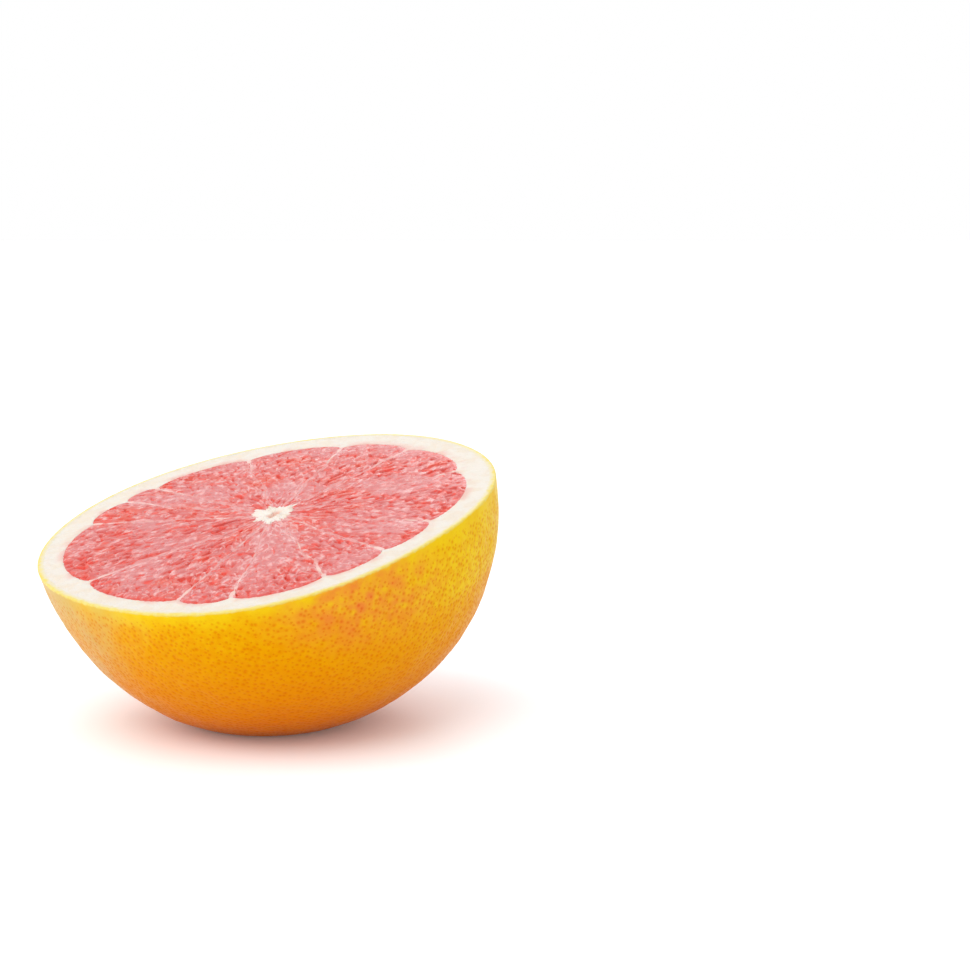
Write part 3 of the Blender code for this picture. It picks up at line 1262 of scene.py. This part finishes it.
@dataclass
class Membranes:
    """The thin pale walls between the segments, from the core to the pith, one fin for each.

    A row of the section is how far to the side, in half thicknesses, and how far down it is.
    """

    plan: SegmentPlan = field(default_factory=SegmentPlan)
    steps: int = 110
    start: float = 2.2 * MM
    into_pith: float = 1.3 * MM
    thin: float = 0.24 * MM
    thick: float = 0.60 * MM
    thicker_at_core: float = 0.1 * MM
    top: float = 0.02 * MM
    uneven_top: float = 0.08 * MM
    dip_at_core: float = 0.5 * MM
    dip_in_pith: float = 0.2 * MM
    half_section: tuple[Span, ...] = ((1.0, 0.8), (1.0, 0.4), (1.0, 0.1), (1.0, 0.002), (0.65, 0.0004))

    @property
    def section(self) -> Array:
        """The whole section, from the root up one side, over the top and down the other.

        Returns:
            A row for each corner.
        """
        left = [(-aside, down) for aside, down in self.half_section]
        right = list(reversed(self.half_section))
        return np.array([(0.0, 1.0), *left, (0.0, 0.0), *right, (0.0, 1.0)])

    def shape(self, flat: Array, number: int) -> tuple[Array, Array]:
        """Bends the blank into a fin.

        Args:
            flat: Points of the blank, x along the radius and y round the section.
            number: Which membrane.

        Returns:
            Points in the fruit's frame and their depth under the skin.
        """
        form = self.plan.form
        middle = self.plan.edges[number]
        depth = form.peel_at(middle) + self.plan.shoulder
        reach = form.layer(depth - self.into_pith, 0.0)[0]
        along = flat[:, 0]
        radius = self.start + (reach - self.start) * along
        aside, down = self.section[np.round(flat[:, 1] * (len(self.section) - 1)).astype(int)].T
        thickness = self.thin + (self.thick - self.thin) * smooth(0.80, 1.0, along)
        thickness = thickness + self.thicker_at_core * smooth(0.3, 0.0, along)
        thickness = thickness * np.where((along < 1e-4) | (along > 1.0 - 1e-4), 0.0, 1.0)
        sideways = aside * thickness + self.plan.bend(number, radius)
        uneven = Ripple(seed=70 + number, fewest=8, most=46, waves=14).at(along * 2.0)
        top = self.top + self.uneven_top * uneven - self.dip_at_core * smooth(0.04, 0.0, along)
        top = top - self.dip_in_pith * smooth(0.985, 1.0, along)
        height = top + (form.floor_of(depth, radius) - top) * down
        return polar(radius, middle + sideways / radius, height), np.full_like(radius, depth)

    def build(self, material: Material) -> None:
        """Makes the fins, joins them and dresses them.

        Args:
            material: Their finish.
        """
        fins = []
        for number in range(len(self.plan.spans)):
            fin = Workpiece.grid(f"membrane_{number + 1:02d}", self.steps, len(self.section) - 1)
            flat = fin.points()
            fin.move_to(self.plan.form.place(*self.shape(flat, number)))
            fin.note("near_pulp", 1.0 - 0.8 * smooth(0.68, 0.96, flat[:, 0]))
            fin.close()
            fins.append(fin)
        fins[0].choose(*fins[1:])
        bpy.ops.object.join()
        Workpiece("membranes").finish(material, Slot.PITH)


@dataclass
class Core:
    """The white core: a ragged star that reaches a little way out along the membranes, with a small pit."""

    plan: SegmentPlan = field(default_factory=SegmentPlan)
    columns: int = 300
    rows: int = 30
    side_rows: int = 5
    body_radius: float = 4.1 * MM
    ragged: Ripple = Ripple(seed=21, fewest=4, most=40, waves=20)
    raggedness: float = 0.16
    spike_seed: int = 8
    spike: float = 3.2 * MM
    spike_width: float = 0.75 * MM
    dome_height: float = 0.20 * MM
    bump_height: float = 0.16 * MM
    rim_drop: float = 0.12 * MM
    root: float = 30.0 * MM
    pit_radius: float = 1.25 * MM
    pit_depth: float = 1.6 * MM
    pit_lean: float = math.radians(50.0)
    pit_ragged: Ripple = Ripple(seed=33, fewest=2, most=9, waves=8)

    def outline(self, azimuth: Array) -> Array:
        """Radius of the star at each azimuth.

        Args:
            azimuth: Radians round the axis.

        Returns:
            The radius, longest along the membranes.
        """
        rng = np.random.default_rng(self.spike_seed)
        radius = self.body_radius * (1.0 + self.raggedness * self.ragged.at(azimuth))
        for edge in self.plan.edges[:-1]:
            off = np.abs(np.mod(azimuth - edge + math.pi, 2.0 * math.pi) - math.pi)
            length = self.spike * rng.uniform(0.05, 1.0)
            radius = radius + length * np.exp(-((off * self.body_radius / self.spike_width) ** 1.3))
        return radius

    def shape(self, flat: Array) -> tuple[Array, Array]:
        """Wraps the blank: from the middle of the pit out over the star, and down to a point below.

        Args:
            flat: Points of the blank, x round the axis and y along the profile.

        Returns:
            Points in the fruit's frame and how much juice stains them.
        """
        azimuth = flat[:, 0] * 2.0 * math.pi
        row = flat[:, 1] * (self.rows + self.side_rows)
        over = np.clip(row / self.rows, 0.0, 1.0)
        down = np.clip((row - self.rows) / self.side_rows, 0.0, 1.0)
        radius = self.outline(azimuth) * over * (1.0 - down) ** 0.6
        around = Ripple(seed=31, fewest=5, most=30, waves=16).at(azimuth + 9.0 * over)
        outwards = Ripple(seed=32, fewest=3, most=12, waves=9).at(6.0 * over + 2.0 * azimuth)
        bumps = self.bump_height * (around * outwards) * smooth(1.0, 0.9, over) * smooth(0.05, 0.3, over)
        long_way = 0.45 * np.cos(2.0 * (azimuth - self.pit_lean))
        pit_edge = self.pit_radius * (1.0 + long_way + 0.2 * self.pit_ragged.at(azimuth))
        height = self.dome_height * smooth(1.0, 0.75, over) + bumps
        height = height - self.pit_depth * smooth(pit_edge * 1.35, pit_edge * 0.35, radius) * (down <= 0.0)
        height = height - self.rim_drop * smooth(0.9, 1.0, over) - self.root * down
        juicy = np.maximum(smooth(1.5, 0.7, radius / pit_edge), 0.5 * smooth(0.7, 1.0, over))
        return polar(radius, azimuth, height), np.where(down > 0.0, 1.0, juicy)

    def build(self, material: Material) -> None:
        """Makes the core and dresses it.

        Args:
            material: Its finish.
        """
        piece = Workpiece.grid("core_star", self.columns, self.rows + self.side_rows)
        points, stained = self.shape(piece.points())
        piece.move_to(self.plan.form.place(points, 0.0))
        piece.note("near_pulp", stained)
        piece.close()
        piece.finish(material, Slot.PITH)


def calm_patches(x: Array, y: Array, seed: int = 61, waves: int = 12, sizes: Span = (11.0, 30.0)) -> Array:
    """Seeded patches where the knife went cleanly through the sacs and left them nearly level.

    Args:
        x: Places in the plane of the cut.
        y: Places in the plane of the cut.
        seed: Seed of the waves that make the patches.
        waves: How many waves.
        sizes: Shortest and longest wave, in millimetres.

    Returns:
        0 where the sacs stand rough, up to 1 where they are level.
    """
    rng = np.random.default_rng(seed)
    total = np.zeros_like(x)
    for _ in range(waves):
        way, start = rng.uniform(0.0, 2.0 * math.pi, 2)
        size = MM * rng.uniform(*sizes)
        total = total + np.cos(2.0 * math.pi * (x * math.cos(way) + y * math.sin(way)) / size + start)
    return smooth(-0.9, 1.6, total / math.sqrt(waves / 2.0))


@dataclass(frozen=True)
class Sac:
    """One juice sac where the knife has met it, in the plane of the cut."""

    x: float
    y: float
    heading: float
    length: float
    width: float
    middle: float
    knife: float
    tilt: Span
    tone: float
    blunter: ClassVar[float] = 0.35
    reach: ClassVar[Span] = (0.46, 0.61)
    soft: ClassVar[float] = 0.10 * MM

    def local(self, x: Array, y: Array) -> tuple[Array, Array]:
        """Places along and across the sac.

        Args:
            x: Places in the plane of the cut.
            y: Places in the plane of the cut.

        Returns:
            Places along and across, each 1 at the sac's own skin. The outer end is the blunt one.
        """
        across, along = x - self.x, y - self.y
        turned_x = across * math.cos(self.heading) + along * math.sin(self.heading)
        turned_y = along * math.cos(self.heading) - across * math.sin(self.heading)
        share = turned_x / self.length
        return share, turned_y / (self.width * (1.0 + self.blunter * np.clip(share, -1.0, 1.0)))

    def apart(self, other: Sac) -> bool:
        """Whether this sac stays clear of one that is there.

        Args:
            other: The sac that is there.

        Returns:
            False where they would overlap.
        """
        across, along = self.x - other.x, self.y - other.y
        long = self.reach[0] * (other.length + self.length)
        wide = self.reach[1] * (other.width + self.width)
        if across**2 + along**2 > long**2:
            return True
        cosine, sine = math.cos(other.heading), math.sin(other.heading)
        lengthwise = (across * cosine + along * sine) / long
        return lengthwise**2 + ((along * cosine - across * sine) / wide) ** 2 > 1.0

    def height(self, x: Array, y: Array) -> Array:
        """The sac's top: rounded, and flat where the knife has gone through it.

        Args:
            x: Places in the plane of the cut.
            y: Places in the plane of the cut.

        Returns:
            Height over the cut, far below it outside the sac.
        """
        along, across = self.local(x, y)
        inside = 1.0 - along**2 - across**2
        dome = self.middle + self.width * np.sqrt(np.maximum(inside, 0.0))
        plane = self.knife + self.tilt[0] * along * self.length + self.tilt[1] * across * self.width
        gap = np.clip(0.5 + 0.5 * (plane - dome) / self.soft, 0.0, 1.0)
        cut = plane + (dome - plane) * gap - self.soft * gap * (1.0 - gap)
        return np.where(inside > 0.0, cut, -1.0)


@dataclass
class Pulp:
    """One segment of red pulp: a wedge whose cut face is a crop of juice sacs."""

    number: int
    plan: SegmentPlan = field(default_factory=SegmentPlan)
    spacing: float = 0.30 * MM
    levels: int = 7
    floor: float = -0.45 * MM
    crease_fill: float = 0.25 * MM
    crease_width: float = 0.13 * MM
    tries: int = 2200
    first_seed: int = 100
    widths: Span = (0.75, 1.25)
    short: Span = (1.4, 2.3)
    long: Span = (1.7, 3.4)
    hollow_from: Span = (-0.10 * MM, -0.40 * MM)
    level: float = 0.05 * MM
    levelled: float = 0.75
    pillow: float = 0.10 * MM

    @cached_property
    def inner(self) -> float:
        """Radius at which the segment starts."""
        return self.plan.tip_radius(self.number)

    @cached_property
    def outer(self) -> float:
        """Radius at which the segment ends, where the peel is of its usual thickness."""
        return float(self.plan.form.layer(self.plan.form.peel, 0.0)[0])

    @cached_property
    def span(self) -> Span:
        """Azimuth of the segment's two membranes."""
        return float(self.plan.edges[self.number]), float(self.plan.edges[self.number + 1])

    def sow(self) -> list[Sac]:
        """Scatters the sacs: blunt and short near the peel, long in the middle, thin by the core.

        Returns:
            The sacs.
        """
        rng = np.random.default_rng(self.first_seed + self.number)
        start, end = self.span
        sacs: list[Sac] = []
        for _ in range(self.tries):
            radius = math.sqrt(rng.uniform(self.inner**2, self.outer**2))
            across = rng.uniform(-1.0, 1.0)
            azimuth = (start + end) / 2.0 + across * (end - start) / 2.0
            out = (radius - self.inner) / (self.outer - self.inner)
            width = MM * rng.uniform(*self.widths) * (0.5 + 0.5 * min(1.0, out / 0.35))
            length = MM * rng.uniform(*(self.short if out > 0.8 else self.long))
            sac = Sac(
                x=radius * math.cos(azimuth),
                y=radius * math.sin(azimuth),
                heading=azimuth + math.radians(9.0 * across + rng.normal(0.0, 12.0 + 24.0 * out)),
                length=length,
                width=width,
                middle=-width * rng.uniform(0.35, 0.85),
                knife=MM * rng.uniform(-0.08, 0.20),
                tilt=(rng.normal(0.0, 0.05), rng.normal(0.0, 0.08)),
                tone=rng.uniform(0.0, 1.0),
            )
            if all(sac.apart(other) for other in sacs):
                sacs.append(sac)
        return sacs

    def raise_sacs(self, x: Array, y: Array) -> tuple[Array, Array, Array]:
        """The relief of the sacs.

        Args:
            x: Places in the plane of the cut.
            y: Places in the plane of the cut.

        Returns:
            Height over the cut, the tone of the sac on top, and how near a crease each place is.
        """
        best = np.full_like(x, self.floor)
        second = np.full_like(x, 2.0 * self.floor)
        tone = np.full_like(x, 0.2)
        for sac in self.sow():
            height = sac.height(x, y)
            higher = height > best
            second = np.where(higher, best, np.maximum(second, height))
            best = np.where(higher, height, best)
            tone = np.where(higher, sac.tone, tone)
        gap = best - second
        filled = best + 0.25 * self.crease_fill * np.maximum(1.0 - gap / self.crease_fill, 0.0) ** 2
        return filled, tone, np.exp(-((gap / self.crease_width) ** 2))

    def shape(self, flat: Array) -> tuple[Array, Array, dict[str, Array]]:
        """Bends the blank into the segment.

        Args:
            flat: Points of the blank, x across the segment, y along the radius, one level for each -1 of z.

        Returns:
            Points in the fruit's frame, their depth under the skin, and what the finish reads at each.
        """
        form, (start, end) = self.plan.form, self.span
        turn = 2.0 * flat[:, 0] - 1.0
        across = 0.55 * turn + 0.45 * np.sin(math.pi / 2.0 * turn)
        along = flat[:, 1]
        share = np.round(-flat[:, 2]) / self.levels
        middle, half = (start + end) / 2.0, (end - start) / 2.0
        depth = form.peel_at(middle + across * half) + self.plan.drawn_in(across)
        side, bottom = form.layer(depth, 1.0 - (1.0 - share) ** 1.3, self.inner)
        radius = self.inner + (side - self.inner) * along
        azimuth = middle + across * (half - np.arcsin(self.plan.wall / radius))
        after = (self.number + 1) % len(self.plan.spans)
        bent_before = self.plan.bend(self.number, radius) * (1.0 - across)
        bent_after = self.plan.bend(after, radius) * (1.0 + across)
        azimuth = azimuth + 0.5 * (bent_before + bent_after) / radius
        x, y = radius * np.cos(azimuth), radius * np.sin(azimuth)
        relief, tone, crease = self.raise_sacs(x, y)
        calm = calm_patches(x, y)
        # Hollows among the sacs, painted a deeper red in part as shade.
        hollow = smooth(*self.hollow_from, relief)
        relief = relief + (self.level - relief) * self.levelled * calm
        from_wall = (1.0 - np.abs(across)) * half * radius
        from_peel = (1.0 - along) * (side - self.inner)
        near = np.minimum(from_wall, from_peel)
        pillow = self.pillow * smooth(0.0, 3.0 * MM, near)
        pillow = pillow - self.pillow * smooth(0.5 * MM, 0.1 * MM, from_peel)
        top = relief * smooth(0.0, 0.8 * MM, near) + pillow
        height = np.where(share > 0.0, bottom, top)
        # The edge by the peel is painted a deeper red too, partly as shade.
        hollow = np.maximum(hollow, 0.35 * smooth(2.2 * MM, 0.2 * MM, from_peel))
        # The pale skin colour runs along the membranes too, partly painted light in the creases there.
        crease = np.maximum(crease, 0.8 * np.exp(-((from_wall / (0.45 * MM)) ** 2)))
        notes = {"tone": tone, "crease": crease * (1.0 - hollow), "deep_red_and_shade": hollow, "calm": calm}
        return polar(radius, azimuth, height), depth, notes

    def build(self, material: Material) -> None:
        """Makes the segment and dresses it.

        Args:
            material: Its finish.
        """
        start, end = self.span
        columns = max(24, round((end - start) * self.outer / self.spacing))
        rows = round((self.outer - self.inner) / self.spacing)
        piece = Workpiece.grid(f"pulp_{self.number + 1:02d}", columns, rows)
        piece.draw_out_border(self.levels, -1.0)
        points, depth, notes = self.shape(piece.points())
        piece.move_to(self.plan.form.place(points, depth))
        for key, values in notes.items():
            piece.note(key, values)
        piece.close()
        piece.finish(material, Slot.PULP, f"segment_{self.number + 1:02d}", crisp=70.0)


@dataclass
class Studio:
    """A white table and soft white light, with the camera at the photograph's place.

    A row of the lamps is the name, place, width and power of one.
    """

    camera_at: tuple[float, float, float] = (0.05006, -0.46035, 0.11034)
    look_down: float = math.radians(7.0)
    lens: float = 76.93
    sensor: float = 36.0
    nearest_seen: float = 0.01
    white: Colour = (1.0, 1.0, 1.0, 1.0)
    sky: float = 1.03
    dim_side: float = 0.7
    sun: float = 1.05
    sun_softness: float = math.radians(50.0)
    sun_from: tuple[float, float, float] = (-0.30, -0.50, 1.0)
    floor_size: float = 40.0
    floor_drop: float = 0.03 * MM
    floor_colour: Colour = (0.935, 0.945, 0.985, 1.0)
    floor_glow: float = 0.06
    lit: tuple[float, float, float] = (0.0, 0.0, 0.03)
    lamps: tuple[tuple[str, tuple[float, float, float], float, float], ...] = (
        ("behind", (0.10, 0.85, 0.60), 0.40, 0.8),
        ("left", (-0.85, 0.10, 0.30), 0.6, 2.0),
    )

    def lay_floor(self) -> None:
        """Lays the table top just under the fruit."""
        Workpiece.clear_choice()
        bpy.ops.mesh.primitive_plane_add(size=self.floor_size, location=(0.0, 0.0, -self.floor_drop))
        floor = bpy.context.active_object
        floor.name = "table_top"
        shader = {
            "Base Color": self.floor_colour,
            "Roughness": 0.6,
            "Specular IOR Level": 0.2,
            "Emission Color": self.white,
            "Emission Strength": self.floor_glow,
        }
        floor.data.materials.append(new_material("white_table", shader)[0])

    def set_sky(self) -> None:
        """Makes the sky white, a little dimmer to the right, and plain white where the camera sees it."""
        world = bpy.data.worlds.new("white_sky")
        world.use_nodes = True
        bpy.context.scene.world = world
        graph = Graph(world.node_tree)
        way = graph.add("ShaderNodeSeparateXYZ", {0: graph.add("ShaderNodeTexCoord").outputs["Generated"]})
        dimmed = graph.step(way.outputs["X"], 0.75, 1.0, self.sky, self.sky * self.dim_side)
        lit = graph.add("ShaderNodeBackground", {"Color": self.white, "Strength": dimmed})
        seen = graph.add("ShaderNodeBackground", {"Color": self.white, "Strength": 1.0})
        ray = graph.add("ShaderNodeLightPath").outputs["Is Camera Ray"]
        mixed = graph.add("ShaderNodeMixShader", {0: ray, 1: lit.outputs[0], 2: seen.outputs[0]})
        graph.add("ShaderNodeOutputWorld", {"Surface": mixed.outputs[0]})

    @staticmethod
    def hang(name: str, data: bpy.types.ID, place: Sequence[float], turn: Any) -> bpy.types.Object:
        """Puts a lamp or the camera in the scene.

        Args:
            name: Its name.
            data: The lamp or the camera.
            place: Where it hangs.
            turn: Its turn, as Euler angles.

        Returns:
            The object.
        """
        thing = bpy.data.objects.new(name, data)
        thing.location = place
        thing.rotation_euler = turn
        bpy.context.scene.collection.objects.link(thing)
        return thing

    def light(self) -> None:
        """Hangs a soft sun, and soft lamps that all point at the fruit."""
        sun = bpy.data.lights.new("sun", "SUN")
        sun.energy = self.sun
        sun.angle = self.sun_softness
        self.hang("sun", sun, (0.0, 0.0, 0.0), Vector(self.sun_from).to_track_quat("Z", "Y").to_euler())
        for name, place, size, power in self.lamps:
            lamp = bpy.data.lights.new(name, "AREA")
            lamp.shape = "DISK"
            lamp.size = size
            lamp.energy = power
            aim = (Vector(self.lit) - Vector(place)).to_track_quat("-Z", "Y").to_euler()
            self.hang(name, lamp, place, aim).visible_camera = False

    def set_camera(self) -> None:
        """Sets the camera at the photograph's viewing angle, and plain colours for its picture."""
        data = bpy.data.cameras.new("camera")
        data.lens = self.lens
        data.sensor_width = self.sensor
        data.clip_start = self.nearest_seen
        turn = (math.radians(90.0) - self.look_down, 0.0, 0.0)
        bpy.context.scene.camera = self.hang("camera", data, self.camera_at, turn)
        bpy.context.scene.view_settings.view_transform = "Standard"

    def build(self) -> None:
        """Sets up the table, the light and the camera."""
        self.lay_floor()
        self.set_sky()
        self.light()
        self.set_camera()
        LOG.info("studio: table, white sky, sun, %d lamps and the camera", len(self.lamps))


def main() -> None:
    """Builds the half from the outside in and reports each piece."""
    logging.basicConfig(level=logging.INFO, format="%(name)s: %(message)s")
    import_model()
    plan = SegmentPlan()
    Zest(plan.form).build(ZestFinish().material())
    Pith(plan).build(PithFinish().material())
    thin = PithFinish(
        name="pith_membrane",
        clean=(0.72, 0.48, 0.45, 1.0),
        stain=(0.60, 0.19, 0.18, 1.0),
        stained=0.9,
        relief=0.06 * MM,
        glow=0.0,
        juicy=(0.28, 0.50),
    )
    Membranes(plan).build(thin.material())
    core = PithFinish(
        name="pith_core",
        clean=(0.69, 0.63, 0.57, 1.0),
        stain=(0.84, 0.44, 0.35, 1.0),
        stained=0.9,
        relief=0.05 * MM,
    )
    Core(plan).build(core.material())
    juicy = PulpFinish().material()
    for number in range(len(plan.spans)):
        Pulp(number, plan).build(juicy)
    Studio().build()


if __name__ == "__main__":
    main()
